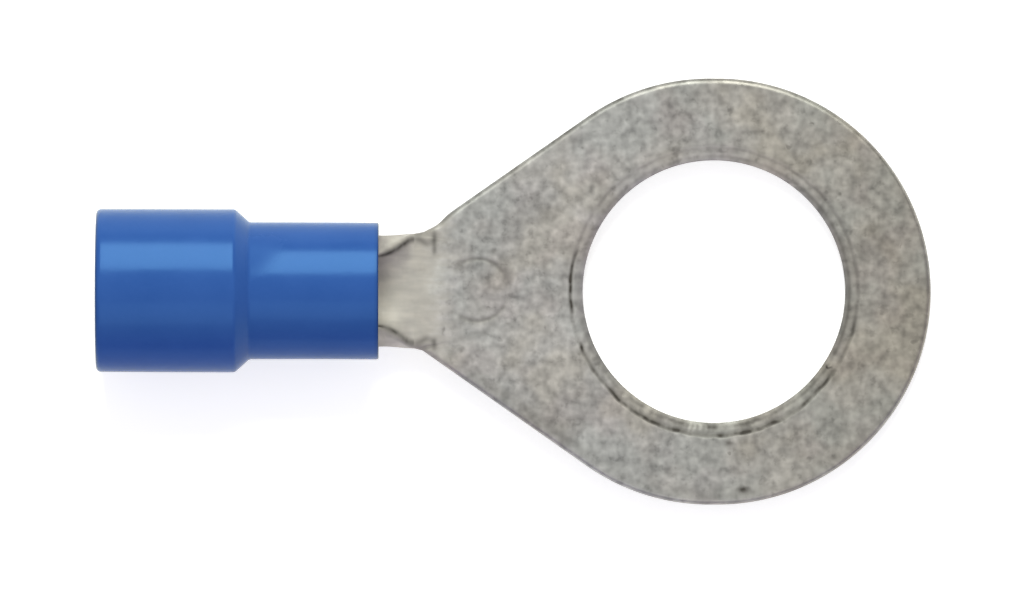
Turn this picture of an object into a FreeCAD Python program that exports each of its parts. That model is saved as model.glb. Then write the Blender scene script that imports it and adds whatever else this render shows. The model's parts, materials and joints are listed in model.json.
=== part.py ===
"""Insulated ring cable lug for 1.5 to 2.5 square millimetre wire and an M10 stud.

The lug is two pieces. The terminal is one stamping of tinned copper strip: a flat
ring tongue, a short neck that curls up into a trough, and a barrel rolled shut with
a brazed butt seam along its top. The insulating sleeve is one moulding of blue vinyl,
pushed over the barrel until a shoulder inside it meets the barrel's rear end.

Frame: millimetres, +Z up. The origin is on the stud hole's axis, at the underside of
the tongue. +X points from the wire end to the tip of the ring, so the barrel lies on
the negative X side, and the barrel's seam faces up.
"""

import os
import math
import FreeCAD
import Part
from FreeCAD import Vector

# Strip and tongue
STRIP_THICKNESS = 0.8
STUD_HOLE_DIAMETER = 10.5
RING_WIDTH = 17.05
RING_LEAD = 0.15  # the front arc's centre stands this far ahead of the hole's axis
RING_STRETCH = 0.34  # the shoulders' arcs stand this far behind the front arc
TAPER_ANGLE = 35.0  # between each tapered edge and the lug's axis, in degrees
NECK_WIDTH = 4.6
NECK_CORNER_RADIUS = 0.5
NECK_STRAIGHT = 0.05  # level strip between the neck's corners and its curl

# Edges left by the blanking punch
ROLLOVER_RADIUS = 0.22
EDGE_BREAK = 0.06

# Coined bevel round the stud hole
BEVEL_WIDTH = 0.5
BEVEL_DEPTH = 0.16
BEVEL_SHOULDER = 0.07  # the small upright step where the bevel starts

# Round press mark on the tongue
MARK_DIAMETER = 2.4
MARK_FROM_NECK = 2.5  # from the end of the level neck to the mark's centre
MARK_GROOVE_WIDTH = 0.16
MARK_GROOVE_DEPTH = 0.05

# Trough between the tongue and the barrel
TROUGH_LENGTH = 1.58
MOUTH_ANGLE = 82.0  # how far each wall curls round the barrel's axis, in degrees
MOUTH_STEP = 0.02  # the trough stands this far inside the faces of the barrel's wall
TONGUE_LIFT = 0.12  # the tongue's underside stands this far above the barrel's
LIFT_SHARE = 0.65  # share of the trough over which its floor rises to the tongue
CURL_EASE = 0.2  # share of the trough, next to the tongue, over which the curl sets in
TROUGH_STATIONS = 9

# Barrel
BARREL_BORE_DIAMETER = 2.9
BARREL_LENGTH = 5.42
BARREL_ENTRY_CHAMFER = 0.15
SEAM_WIDTH_OUTSIDE = 0.26
SEAM_DEPTH_OUTSIDE = 0.14
SEAM_WIDTH_INSIDE = 0.16
SEAM_DEPTH_INSIDE = 0.07

# Grip grooves round the inside of the barrel
GROOVE_COUNT = 3
GROOVE_PITCH = 1.15
GROOVE_WIDTH = 0.4
GROOVE_FLOOR = 0.14
GROOVE_DEPTH = 0.12

# Insulating sleeve
SLEEVE_CLEARANCE = 0.01
FRONT_WALL = 0.49
FRONT_OVERHANG = 0.15  # the sleeve's front end stands this far ahead of the barrel's mouth
GRIP_LENGTH = 5.72  # from the barrel's rear end to the sleeve's rear end
INSULATION_BORE_DIAMETER = 4.8
ENTRY_WALL = 0.87
OUTER_CONE_LENGTH = 0.58
OUTER_CONE_LAP = 0.41  # the cone's foot stands this far ahead of the barrel's rear end
THROAT_LENGTH = 0.35
FUNNEL_ANGLE = 36.5  # between the funnel's wall and the lug's axis, in degrees
REAR_EDGE_RADIUS = 0.2
REAR_MOUTH_CHAMFER = 0.25
FRONT_EDGE_RADIUS = 0.08
FRONT_MOUTH_CHAMFER = 0.12
CONE_EDGE_RADIUS = 0.12

# Levels and radii that follow
ring_radius = RING_WIDTH / 2
hole_radius = STUD_HOLE_DIAMETER / 2
neck_half = NECK_WIDTH / 2
taper = math.radians(TAPER_ANGLE)
bore_radius = BARREL_BORE_DIAMETER / 2
barrel_radius = bore_radius + STRIP_THICKNESS
axis_height = barrel_radius - TONGUE_LIFT

# Stations along X that follow
shoulder_x = RING_LEAD - RING_STRETCH
corner_x = shoulder_x - (ring_radius - neck_half * math.cos(taper)) / math.sin(taper)
corner_tangent = NECK_CORNER_RADIUS * math.tan(taper / 2)
level_end_x = corner_x - corner_tangent - NECK_STRAIGHT
mouth_x = level_end_x - TROUGH_LENGTH
barrel_rear_x = mouth_x - BARREL_LENGTH
sleeve_front_x = mouth_x + FRONT_OVERHANG
sleeve_rear_x = barrel_rear_x - GRIP_LENGTH
mark_x = level_end_x + MARK_FROM_NECK

TOOL_REACH = 2.0  # how far a cutting shape runs past the face that it opens


def revolved(profile, centre, direction):
    """A solid of revolution from a closed list of corner points."""
    face = Part.Face(Part.makePolygon(profile + [profile[0]]))
    return face.revolve(centre, direction, 360)


def tongue_outline():
    """The tongue's closed edge: neck, corner, taper, shoulder, ring, and back again.

    The ring is a little longer than wide: its front and its shoulders are arcs of one
    radius with a short straight side between them.
    """
    normal = Vector(-math.sin(taper), math.cos(taper), 0)
    along = Vector(math.cos(taper), math.sin(taper), 0)
    half_way = Vector(-math.sin(taper / 2), math.cos(taper / 2), 0)
    shoulder_centre = Vector(shoulder_x, 0, 0)
    taper_top = shoulder_centre + normal * ring_radius
    shoulder_middle = shoulder_centre + half_way * ring_radius
    shoulder_end = Vector(shoulder_x, ring_radius, 0)
    front_start = Vector(RING_LEAD, ring_radius, 0)
    tip = Vector(RING_LEAD + ring_radius, 0, 0)

    neck_end = Vector(level_end_x, neck_half, 0)
    corner_start = Vector(corner_x - corner_tangent, neck_half, 0)
    corner_centre = corner_start + Vector(0, NECK_CORNER_RADIUS, 0)
    corner_middle = corner_centre - half_way * NECK_CORNER_RADIUS
    corner_end = Vector(corner_x, neck_half, 0) + along * corner_tangent

    def mirrored(point):
        return Vector(point.x, -point.y, point.z)

    upper = [
        Part.LineSegment(neck_end, corner_start),
        Part.Arc(corner_start, corner_middle, corner_end),
        Part.LineSegment(corner_end, taper_top),
        Part.Arc(taper_top, shoulder_middle, shoulder_end),
        Part.LineSegment(shoulder_end, front_start),
    ]
    front = Part.Arc(front_start, tip, mirrored(front_start))
    lower = [
        Part.LineSegment(mirrored(front_start), mirrored(shoulder_end)),
        Part.Arc(mirrored(shoulder_end), mirrored(shoulder_middle), mirrored(taper_top)),
        Part.LineSegment(mirrored(taper_top), mirrored(corner_end)),
        Part.Arc(mirrored(corner_end), mirrored(corner_middle), mirrored(corner_start)),
        Part.LineSegment(mirrored(corner_start), mirrored(neck_end)),
    ]
    end = Part.LineSegment(mirrored(neck_end), neck_end)
    return Part.Wire([curve.toShape() for curve in upper + [front] + lower + [end]])


def edges_at_level(solid, height):
    """The edges that lie flat at one height, apart from the straight end of the neck."""
    found = []
    for edge in solid.Edges:
        box = edge.BoundBox
        level = abs(box.ZMin - height) < 1e-6 and abs(box.ZMax - height) < 1e-6
        neck_end = box.XMax < level_end_x + 1e-6
        if level and not neck_end:
            found.append(edge)
    return found


def make_tongue():
    """The flat blank, with a rolled-over edge on top and a small break underneath."""
    blank = Part.Face(tongue_outline()).extrude(Vector(0, 0, STRIP_THICKNESS))
    blank = blank.makeFillet(ROLLOVER_RADIUS, edges_at_level(blank, STRIP_THICKNESS))
    return blank.makeFillet(EDGE_BREAK, edges_at_level(blank, 0))


def stud_hole_tool():
    """The shape that leaves the stud hole, its coined bevel and the bevel's shoulder."""
    bevel_radius = hole_radius + BEVEL_WIDTH
    profile = [
        Vector(0, 0, -TOOL_REACH),
        Vector(hole_radius, 0, -TOOL_REACH),
        Vector(hole_radius, 0, STRIP_THICKNESS - BEVEL_DEPTH),
        Vector(bevel_radius, 0, STRIP_THICKNESS - BEVEL_SHOULDER),
        Vector(bevel_radius, 0, STRIP_THICKNESS + TOOL_REACH),
        Vector(0, 0, STRIP_THICKNESS + TOOL_REACH),
    ]
    return revolved(profile, Vector(0, 0, 0), Vector(0, 0, 1))


def press_mark_tool():
    """A ring with a V section, which leaves the fine circle on top of the tongue."""
    radius = MARK_DIAMETER / 2
    half = MARK_GROOVE_WIDTH / 2
    profile = [
        Vector(mark_x + radius, 0, STRIP_THICKNESS - MARK_GROOVE_DEPTH),
        Vector(mark_x + radius + 2 * half, 0, STRIP_THICKNESS + MARK_GROOVE_DEPTH),
        Vector(mark_x + radius - 2 * half, 0, STRIP_THICKNESS + MARK_GROOVE_DEPTH),
    ]
    return revolved(profile, Vector(mark_x, 0, 0), Vector(0, 0, 1))


def smooth_step(share):
    """Goes from 0 to 1 with a level start and a level finish."""
    share = min(max(share, 0), 1)
    return share * share * (3 - 2 * share)


def eased(share):
    """Goes from 0 to 1 with a soft start over CURL_EASE and a straight rise after it."""
    soft = min(share, CURL_EASE)
    return (soft ** 2 / (2 * CURL_EASE) + share - soft) / (1 - CURL_EASE / 2)


def strip_section(x, share):
    """The strip's closed section at one station: flat where share is 1, curled where 0.

    A point of the flat strip has a distance across it and a height above its
    underside. Rolling the strip wraps the distance round a circle of the underside's
    radius, so that the wall keeps its thickness.
    """
    curl = math.radians(MOUTH_ANGLE) * eased(1 - share)
    mouth_half = barrel_radius * math.sin(math.radians(MOUTH_ANGLE))
    half_width = mouth_half + (neck_half - mouth_half) * smooth_step(share)
    rise = smooth_step(share / LIFT_SHARE)
    floor = -TONGUE_LIFT * (1 - rise)
    step = MOUTH_STEP * (1 - smooth_step(2 * share))
    flat = curl < 1e-9
    radius = 0 if flat else half_width / math.sin(curl)
    reach = half_width if flat else radius * curl

    def rolled(across, height):
        if flat:
            return Vector(x, across, floor + height)
        angle = across / radius
        arm = radius - height
        return Vector(x, arm * math.sin(angle), floor + radius - arm * math.cos(angle))

    def rounding(side, corner_height, inwards, size):
        """One rounded corner, from the wall's face to the strip's face."""
        eighth = size * (1 - math.sqrt(0.5))
        return [
            rolled(side * reach, corner_height + inwards * size),
            rolled(side * (reach - eighth), corner_height + inwards * eighth),
            rolled(side * (reach - size), corner_height),
        ]

    top = STRIP_THICKNESS - step
    right_top = rounding(1, top, -1, ROLLOVER_RADIUS)
    left_top = rounding(-1, top, -1, ROLLOVER_RADIUS)[::-1]
    left_foot = rounding(-1, step, 1, EDGE_BREAK)
    right_foot = rounding(1, step, 1, EDGE_BREAK)[::-1]

    def face_curve(start, end, height):
        if flat:
            return Part.LineSegment(start, end)
        return Part.Arc(start, rolled(0, height), end)

    curves = [
        Part.Arc(*right_top),
        face_curve(right_top[2], left_top[0], top),
        Part.Arc(*left_top),
        Part.LineSegment(left_top[2], left_foot[0]),
        Part.Arc(*left_foot),
        face_curve(left_foot[2], right_foot[0], step),
        Part.Arc(*right_foot),
        Part.LineSegment(right_foot[2], right_top[0]),
    ]
    return Part.Wire([curve.toShape() for curve in curves])


def make_trough():
    """The neck's curl, lofted from the level strip back to the barrel's lower half."""
    sections = []
    for station in range(TROUGH_STATIONS):
        share = station / (TROUGH_STATIONS - 1)
        sections.append(strip_section(mouth_x + TROUGH_LENGTH * share, share))
    return Part.makeLoft(sections, True, False)


def barrel_point(x, radius):
    """A point of the barrel's lengthwise section, above its axis."""
    return Vector(x, 0, axis_height + radius)


def make_barrel():
    """The rolled tube, with a chamfered entry and grip grooves round its bore."""
    wall = [
        barrel_point(barrel_rear_x, barrel_radius),
        barrel_point(mouth_x, barrel_radius),
        barrel_point(mouth_x, bore_radius),
    ]
    middle_x = (barrel_rear_x + mouth_x) / 2
    for groove in reversed(range(GROOVE_COUNT)):
        x = middle_x + (groove - (GROOVE_COUNT - 1) / 2) * GROOVE_PITCH
        wall += [
            barrel_point(x + GROOVE_WIDTH / 2, bore_radius),
            barrel_point(x + GROOVE_FLOOR / 2, bore_radius + GROOVE_DEPTH),
            barrel_point(x - GROOVE_FLOOR / 2, bore_radius + GROOVE_DEPTH),
            barrel_point(x - GROOVE_WIDTH / 2, bore_radius),
        ]
    wall += [
        barrel_point(barrel_rear_x + BARREL_ENTRY_CHAMFER, bore_radius),
        barrel_point(barrel_rear_x, bore_radius + BARREL_ENTRY_CHAMFER),
    ]
    return revolved(wall, Vector(0, 0, axis_height), Vector(1, 0, 0))


def seam_tool(radius, width, depth, side):
    """A wedge along the top of the barrel; side is 1 outside the wall and -1 inside."""
    reach = 2 * depth
    half = width / 2 * (depth + reach) / depth
    x = barrel_rear_x - TOOL_REACH
    face_height = axis_height + radius
    wedge = [
        Vector(x, 0, face_height - side * depth),
        Vector(x, half, face_height + side * reach),
        Vector(x, -half, face_height + side * reach),
    ]
    length = BARREL_LENGTH + 2 * TOOL_REACH
    return Part.Face(Part.makePolygon(wedge + [wedge[0]])).extrude(Vector(length, 0, 0))


def make_ring_terminal():
    """The whole stamping: tongue, trough and barrel as one piece of copper."""
    outer_seam = seam_tool(barrel_radius, SEAM_WIDTH_OUTSIDE, SEAM_DEPTH_OUTSIDE, 1)
    inner_seam = seam_tool(bore_radius, SEAM_WIDTH_INSIDE, SEAM_DEPTH_INSIDE, -1)
    barrel = make_barrel().cut(outer_seam).cut(inner_seam)
    tongue = make_tongue().cut(stud_hole_tool()).cut(press_mark_tool())
    return tongue.fuse([make_trough(), barrel]).removeSplitter()


def sleeve_profile():
    """Corner points of the sleeve's lengthwise section, from its rear rim round."""
    seat_radius = barrel_radius + SLEEVE_CLEARANCE
    front_radius = seat_radius + FRONT_WALL
    entry_bore = INSULATION_BORE_DIAMETER / 2
    entry_radius = entry_bore + ENTRY_WALL
    cone_foot_x = barrel_rear_x + OUTER_CONE_LAP
    throat_rear_x = barrel_rear_x - THROAT_LENGTH
    funnel_length = (entry_bore - bore_radius) / math.tan(math.radians(FUNNEL_ANGLE))
    return {
        "rear rim": barrel_point(sleeve_rear_x, entry_radius),
        "cone top": barrel_point(cone_foot_x - OUTER_CONE_LENGTH, entry_radius),
        "cone foot": barrel_point(cone_foot_x, front_radius),
        "front rim": barrel_point(sleeve_front_x, front_radius),
        "front mouth": barrel_point(sleeve_front_x, seat_radius + FRONT_MOUTH_CHAMFER),
        "front bore": barrel_point(sleeve_front_x - FRONT_MOUTH_CHAMFER, seat_radius),
        "seat": barrel_point(barrel_rear_x, seat_radius),
        "seat lip": barrel_point(barrel_rear_x, bore_radius),
        "throat": barrel_point(throat_rear_x, bore_radius),
        "funnel end": barrel_point(throat_rear_x - funnel_length, entry_bore),
        "mouth chamfer": barrel_point(sleeve_rear_x + REAR_MOUTH_CHAMFER, entry_bore),
        "rear mouth": barrel_point(sleeve_rear_x, entry_bore + REAR_MOUTH_CHAMFER),
    }


def round_edge(solid, corner, radius):
    """Rounds the circular edge that one corner of the section sweeps out."""
    size = corner.z - axis_height
    for edge in solid.Edges:
        curve = edge.Curve
        if not isinstance(curve, Part.Circle):
            continue
        if abs(curve.Center.x - corner.x) < 1e-6 and abs(curve.Radius - size) < 1e-6:
            return solid.makeFillet(radius, [edge])
    raise ValueError("no edge at that corner of the sleeve")


def make_insulating_sleeve():
    """The stepped vinyl moulding with a funnel inside it that leads into the barrel."""
    corners = sleeve_profile()
    sleeve = revolved(list(corners.values()), Vector(0, 0, axis_height), Vector(1, 0, 0))
    sleeve = round_edge(sleeve, corners["rear rim"], REAR_EDGE_RADIUS)
    sleeve = round_edge(sleeve, corners["cone top"], CONE_EDGE_RADIUS)
    sleeve = round_edge(sleeve, corners["cone foot"], CONE_EDGE_RADIUS)
    return round_edge(sleeve, corners["front rim"], FRONT_EDGE_RADIUS)


def main():
    os.makedirs("parts", exist_ok=True)
    pieces = {
        "ring_terminal": make_ring_terminal(),
        "insulating_sleeve": make_insulating_sleeve(),
    }
    for name, piece in pieces.items():
        piece.exportStep(os.path.join("parts", name + ".step"))
        box = piece.BoundBox
        print(f"{name}: {len(piece.Solids)} solid, valid {piece.isValid()},",
              f"{piece.Volume:.2f} cubic mm,",
              f"X {box.XMin:.2f} to {box.XMax:.2f}, Y {box.YMin:.2f} to {box.YMax:.2f},",
              f"Z {box.ZMin:.2f} to {box.ZMax:.2f}")


main()
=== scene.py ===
# %% [markdown]
# # An insulated ring lug
# A ring lug is the metal end of a cable. Its flat ring goes under a nut, its barrel is
# crimped on the bare wire, and a blue vinyl sleeve insulates the crimp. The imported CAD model
# is the fixed frame of this scene: every size that it holds is read from it, and every mesh
# made here lies where its solid lies. Lengths are in metres, and MM turns a length in
# millimetres, as on the drawing of the real thing, into metres.

# %% Load the fixed frame
import json
import math
import bpy
import numpy as np
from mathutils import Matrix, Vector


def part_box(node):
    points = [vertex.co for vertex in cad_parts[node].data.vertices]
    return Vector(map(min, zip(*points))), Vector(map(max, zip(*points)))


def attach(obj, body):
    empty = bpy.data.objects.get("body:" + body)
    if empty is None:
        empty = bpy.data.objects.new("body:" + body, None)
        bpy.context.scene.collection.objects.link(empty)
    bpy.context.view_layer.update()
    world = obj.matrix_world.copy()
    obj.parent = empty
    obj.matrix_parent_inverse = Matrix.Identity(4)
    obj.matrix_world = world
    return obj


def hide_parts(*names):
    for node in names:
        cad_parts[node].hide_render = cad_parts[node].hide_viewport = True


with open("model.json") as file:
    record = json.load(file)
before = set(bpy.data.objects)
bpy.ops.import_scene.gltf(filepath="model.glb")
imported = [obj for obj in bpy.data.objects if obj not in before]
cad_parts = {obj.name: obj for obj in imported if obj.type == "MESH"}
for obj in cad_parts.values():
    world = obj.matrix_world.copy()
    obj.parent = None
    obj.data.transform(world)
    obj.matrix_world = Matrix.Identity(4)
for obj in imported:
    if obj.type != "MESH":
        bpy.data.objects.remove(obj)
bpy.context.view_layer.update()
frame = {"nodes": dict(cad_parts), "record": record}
MM = 0.001
print("nodes:", sorted(frame["nodes"]))

# %% [markdown]
# ## Sizes
# The mounts in the record say how large the stud hole and the bores are, and the boxes of the
# two nodes give the outer sizes. Only what neither of them holds, such as the roundness of a
# punched edge, is written here. Reading the sizes keeps the looks and the solids together.

# %% Read the sizes from the frame
mounts = {mount["name"]: mount for mount in frame["record"]["mounts"]}
metal_low, metal_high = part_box("ring_terminal")
sleeve_low, sleeve_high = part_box("insulating_sleeve")

thickness = mounts["nut_face"]["pos_m"][2]
hole_radius = mounts["stud_hole"]["dims"]["r_mm"] * MM
bevel_foot = mounts["stud_hole"]["dims"]["length_mm"] * MM
ring_radius = metal_high.y
ring_lead = metal_high.x - ring_radius
axis_height = mounts["wire_barrel"]["pos_m"][2]
bore_radius = mounts["wire_barrel"]["dims"]["r_mm"] * MM
barrel_radius = bore_radius + thickness
barrel_rear = metal_low.x
mouth_x = 2 * mounts["wire_barrel"]["pos_m"][0] - barrel_rear
sleeve_rear = sleeve_low.x
sleeve_front = sleeve_high.x
sleeve_radius = sleeve_high.y
entry_radius = mounts["insulation_entry"]["dims"]["r_mm"] * MM
print(f"strip {thickness / MM:.2f} mm, hole {2 * hole_radius / MM:.2f} mm,",
      f"barrel {2 * barrel_radius / MM:.2f} mm, sleeve {2 * sleeve_radius / MM:.2f} mm")

# %% [markdown]
# ## A mesh from patches
# A punched and rolled part is easiest to describe as a few curved patches, each a function of
# two parameters on a grid. Blender could join them with a modifier, but it is simpler to
# compute them so that they share their borders exactly, and then to number equal points once.
# Each point also carries how dark it is painted, from 0 to 1, mostly as painted shade.

# %% Weld patches into one mesh
WELD_STEP = 1e-5 * MM


def grid_faces(rows, columns, close_rows=False, close_columns=False):
    """Quads of a grid: each takes a point, its right neighbour and the two points above."""
    i = np.arange(rows if close_rows else rows - 1)[:, None]
    j = np.arange(columns if close_columns else columns - 1)[None, :]
    up = (i + 1) % rows
    right = (j + 1) % columns
    corners = [i * columns + j, i * columns + right, up * columns + right, up * columns + j]
    return np.stack(corners, axis=-1).reshape(-1, 4)


def weld(patches):
    """One mesh from patches of (points, quads, painted shade at each point), equal points made
    one.
    """
    points = np.concatenate([p.reshape(-1, 3) for p, _, _ in patches])
    dirt = np.concatenate([d.reshape(-1) for _, _, d in patches])
    starts = np.cumsum([0] + [p.reshape(-1, 3).shape[0] for p, _, _ in patches[:-1]])
    faces = np.concatenate([f + start for (_, f, _), start in zip(patches, starts)])
    used = np.unique(faces)
    keys = np.round(points[used] / WELD_STEP).astype(np.int64)
    _, first, group = np.unique(keys, axis=0, return_index=True, return_inverse=True)
    renumber = np.zeros(len(points), dtype=np.int64)
    renumber[used] = group.reshape(-1)
    return points[used][first], renumber[faces], dirt[used][first]


print("an open grid of 3 by 4 points has", len(grid_faces(3, 4)), "faces")

# %% [markdown]
# ## Is it closed?
# In a closed mesh whose faces all point the same way, every edge is used exactly once in each
# direction. The volume then says which way that is: faces that point inwards make it negative.

# %% Test a mesh


def open_edges(faces):
    """How many edges lack a partner that runs the other way."""
    starts = faces.reshape(-1)
    ends = np.roll(faces, -1, axis=1).reshape(-1)
    keep = starts != ends
    there = starts[keep] * (faces.max() + 1) + ends[keep]
    back = ends[keep] * (faces.max() + 1) + starts[keep]
    return int(np.setxor1d(there, back).size + there.size - np.unique(there).size)


def signed_volume(points, faces):
    """Volume inside the mesh: positive when its faces point outwards."""
    a, b, c, d = (points[faces[:, k]] for k in range(4))
    halves = np.cross(b, c) + np.cross(c, d)
    return float(np.einsum("ij,ij->i", a, halves).sum() / 6)


print("a ring-shaped grid leaves", open_edges(grid_faces(4, 5, True, True)), "edges open")

# %% Turn a mesh into a piece


def build_piece(name, patches, node):
    """Welds the patches, makes a smooth-shaded object and lets it stand for a CAD node."""
    points, faces, dirt = weld(patches)
    mesh = bpy.data.meshes.new(name)
    corners = [tuple(dict.fromkeys(face)) for face in faces.tolist()]
    mesh.from_pydata(points.tolist(), [], [c for c in corners if len(c) > 2])
    mesh.update()
    mesh.shade_smooth()
    mesh.attributes.new("dirt", "FLOAT", "POINT").data.foreach_set("value", dirt)
    piece = bpy.data.objects.new(name, mesh)
    bpy.context.scene.collection.objects.link(piece)
    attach(piece, "root")
    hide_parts(node)
    print(f"{name}: {len(points)} points, {len(mesh.polygons)} faces,",
          f"{open_edges(faces)} open edges, {signed_volume(points, faces) / MM ** 3:.1f} mm3")
    return piece


# %% [markdown]
# ## The tongue's outline
# The blank is punched from strip: a level neck, a small corner, a straight taper, a shoulder
# and then a ring that is a third of a millimetre longer than wide. Lines and arcs give the
# outline, as on the tool's drawing. All of it can be seen from the hole's axis, so it is also
# one radius for each angle round that axis, which is what the grid below needs.

# %% Draw the outline from lines and arcs
neck_half = 2.3 * MM
neck_corner_radius = 0.5 * MM
neck_straight = 0.05 * MM
taper = math.radians(35)
ring_stretch = 0.34 * MM
QUARTER = math.pi / 2
ARC_POINTS = 240


def arc(centre, radius, start, end):
    """Points on an arc: centre plus radius times cosine and sine of an angle."""
    angle = np.linspace(start, end, ARC_POINTS)
    return np.stack([centre[0] + radius * np.cos(angle), centre[1] + radius * np.sin(angle)], 1)


def line(start, end):
    """Points on a straight line, evenly spaced."""
    share = np.linspace(0, 1, ARC_POINTS)[:, None]
    return (1 - share) * np.array(start) + share * np.array(end)


shoulder_x = ring_lead - ring_stretch
corner_x = shoulder_x - (ring_radius - neck_half * math.cos(taper)) / math.sin(taper)
corner_tangent = neck_corner_radius * math.tan(taper / 2)
level_end = corner_x - corner_tangent - neck_straight
corner_centre = (corner_x - corner_tangent, neck_half + neck_corner_radius)

corner_arc = arc(corner_centre, neck_corner_radius, -QUARTER, -QUARTER + taper)
shoulder_arc = arc((shoulder_x, 0), ring_radius, QUARTER + taper, QUARTER)
front_arc = arc((ring_lead, 0), ring_radius, QUARTER, 0)
upper_edge = np.concatenate([
    line((level_end, neck_half), corner_arc[0]),
    corner_arc,
    line(corner_arc[-1], shoulder_arc[0]),
    shoulder_arc,
    line(shoulder_arc[-1], front_arc[0]),
    front_arc,
])
print(f"tongue runs from {level_end / MM:.2f} to {metal_high.x / MM:.2f} mm")

# %% Turn the outline into a radius for each angle
edge_angle = np.arctan2(upper_edge[:, 1], upper_edge[:, 0])
edge_radius = np.hypot(upper_edge[:, 0], upper_edge[:, 1])


def outline_radius(angle):
    """Distance from the hole's axis to the tongue's edge, the same on both sides."""
    folded = np.abs((angle + math.pi) % (2 * math.pi) - math.pi)
    return np.interp(folded, edge_angle[::-1], edge_radius[::-1])


print(f"radius to the side {outline_radius(QUARTER) / MM:.2f} mm")

# %% [markdown]
# ## The tongue
# The tongue is a plate with a hole, so its skin is a ring that is carried once round the
# hole. One parameter is the angle round the hole. The other runs round the plate's section:
# up the hole's wall, up the coined bevel, over the bevel's ragged shoulder, across the top,
# over the rolled edge, down the side and back along the underside. A subdivision surface
# would need many support loops for such an edge, while a formula puts each row where the
# shape bends.

# %% Set the sizes of the tongue's edges
roll_radius = 0.22 * MM
foot_break = 0.05 * MM
bevel_width = 0.5 * MM
bevel_shoulder = 0.045 * MM
bevel_rise = thickness - bevel_shoulder - bevel_foot
bevel_crown = 0.02 * MM
bevel_ripple = 0.006 * MM
bevel_ragged = 0.02 * MM
groove_width = 0.26 * MM
groove_depth = 0.01 * MM
under_end = hole_radius + 0.2 * MM
print(f"the bevel rises {bevel_rise / MM:.3f} mm over {bevel_width / MM:.2f} mm")

# %% Count the rays round the hole and the rows of the section
RING_RAYS = 520
NECK_RAYS = 101
FOOT_ROWS = 2
HOLE_ROWS = 5
BEVEL_ROWS = 8
SHOULDER_ROWS = 4
TOP_ROWS = 62
ROLL_ROWS = 6
SIDE_ROWS = 5
UNDER_ROWS = 16

BEVEL_START = FOOT_ROWS + HOLE_ROWS
TOP_START = BEVEL_START + BEVEL_ROWS + SHOULDER_ROWS
TOP_END = TOP_START + TOP_ROWS + ROLL_ROWS
SIDE_END = TOP_END + SIDE_ROWS - 1
print("the top's rows run from", TOP_START, "to", TOP_END)

# %% [markdown]
# ## Bells and waves
# Tools wear, and painted shade is stronger on one side than on another. Two curves do for all
# of it: a bell, and a few sines that make a ragged line round the hole.

# %% Make bells and waves


def bell(gap, spread):
    """1 where the gap is 0, falling off on both sides: exp(-(gap / spread) ** 2)."""
    return np.exp(-(gap / spread) ** 2)


def around_angle(angle, centre, spread):
    """A bell round the hole, with its centre and spread in degrees."""
    return bell((np.degrees(angle) - centre + 180) % 360 - 180, spread)


def waves(angle, counts, seed):
    """A closed ragged line round the hole: a sum of sines with whole numbers of waves."""
    phases = np.random.default_rng(seed).uniform(0, 2 * math.pi, len(counts))
    total = np.zeros_like(angle)
    for count, phase in zip(counts, phases):
        total += np.sin(count * angle + phase) / math.sqrt(len(counts))
    return total


def smooth_step(share):
    """Goes from 0 to 1 with a level start and a level finish."""
    share = np.clip(share, 0, 1)
    return share * share * (3 - 2 * share)


print(f"a bell one spread away is {bell(1, 1):.3f} high")

# %% [markdown]
# ## The bevel's ragged shoulder
# The punch that coins the bevel bites unevenly. It leaves a groove at the bevel's shoulder
# that is deep in some places and hardly there in others. The deepest bite at a place counts.

# %% List the bites of the punch
BITE_LEVEL = 0.3
BITES = [  # angle in degrees, spread in degrees, depth
    (169, 7, 1.05),
    (177, 9, 1.15),
    (185, 4, 1.15),
    (203.3, 2.5, 1.15),
    (208, 4, 0.85),
    (216, 10, 0.65),
    (228, 12, 0.7),
    (241, 10, 0.65),
    (256, 10, 0.5),
    (270, 55, 0.5),
    (272.6, 2.5, 0.95),
    (281, 6, 0.6),
    (294, 7, 0.65),
    (308, 7, 0.65),
    (320, 6, 0.75),
    (335, 4, 0.55),
    (346, 5, 0.7),
    (7, 12, 0.35),
    (24, 10, 0.45),
    (40, 8, 0.45),
    (54, 8, 0.35),
    (72, 8, 0.3),
    (84, 5, 0.45),
    (125, 12, 0.25),
    (150, 8, 0.3),
]


def bite(angle):
    """How deep the groove is at an angle, about 0 to 1: the highest of a level and bells."""
    depth = np.full_like(angle, BITE_LEVEL)
    for centre, spread, height in BITES:
        depth = np.maximum(depth, height * around_angle(angle, centre, spread))
    return depth


def bevel_border(angle):
    """Radius of the groove's middle: the bevel's width plus a ragged line."""
    return hole_radius + bevel_width + bevel_ragged * waves(angle, (3, 7, 11, 19, 31, 47), 4)


print(f"{len(BITES)} bites, the deepest {bite(np.linspace(0, 2 * math.pi, 720)).max():.2f}")

# %% [markdown]
# ## The edge and the press marks
# Each ray from the hole's axis meets the edge at its own slant, so a width across the edge is
# divided by how squarely the ray meets it. The press that curls the neck has pinched one of
# its corners, and a round stamp has left a very shallow ring beside it. Both are in the mesh.

# %% Find the edge along each ray
pinch_depth = 0.13 * MM
pinch_x = corner_x + 0.55 * MM
pinch_half = 0.4 * MM
ANGLE_STEP = 1e-4


def neck_positions():
    """Places across the neck, closest together near its two edges: a sine of even steps."""
    return neck_half * np.sin(np.linspace(QUARTER, -QUARTER, NECK_RAYS))


def ray_angles():
    """Angles of the rays: through even steps round the ring, then through the neck's end."""
    corner = math.atan2(neck_half, level_end)
    ring = np.linspace(-corner, corner, RING_RAYS + 2)[1:-1]
    neck = np.arctan2(neck_positions(), level_end)
    return np.concatenate([ring, neck])


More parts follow.
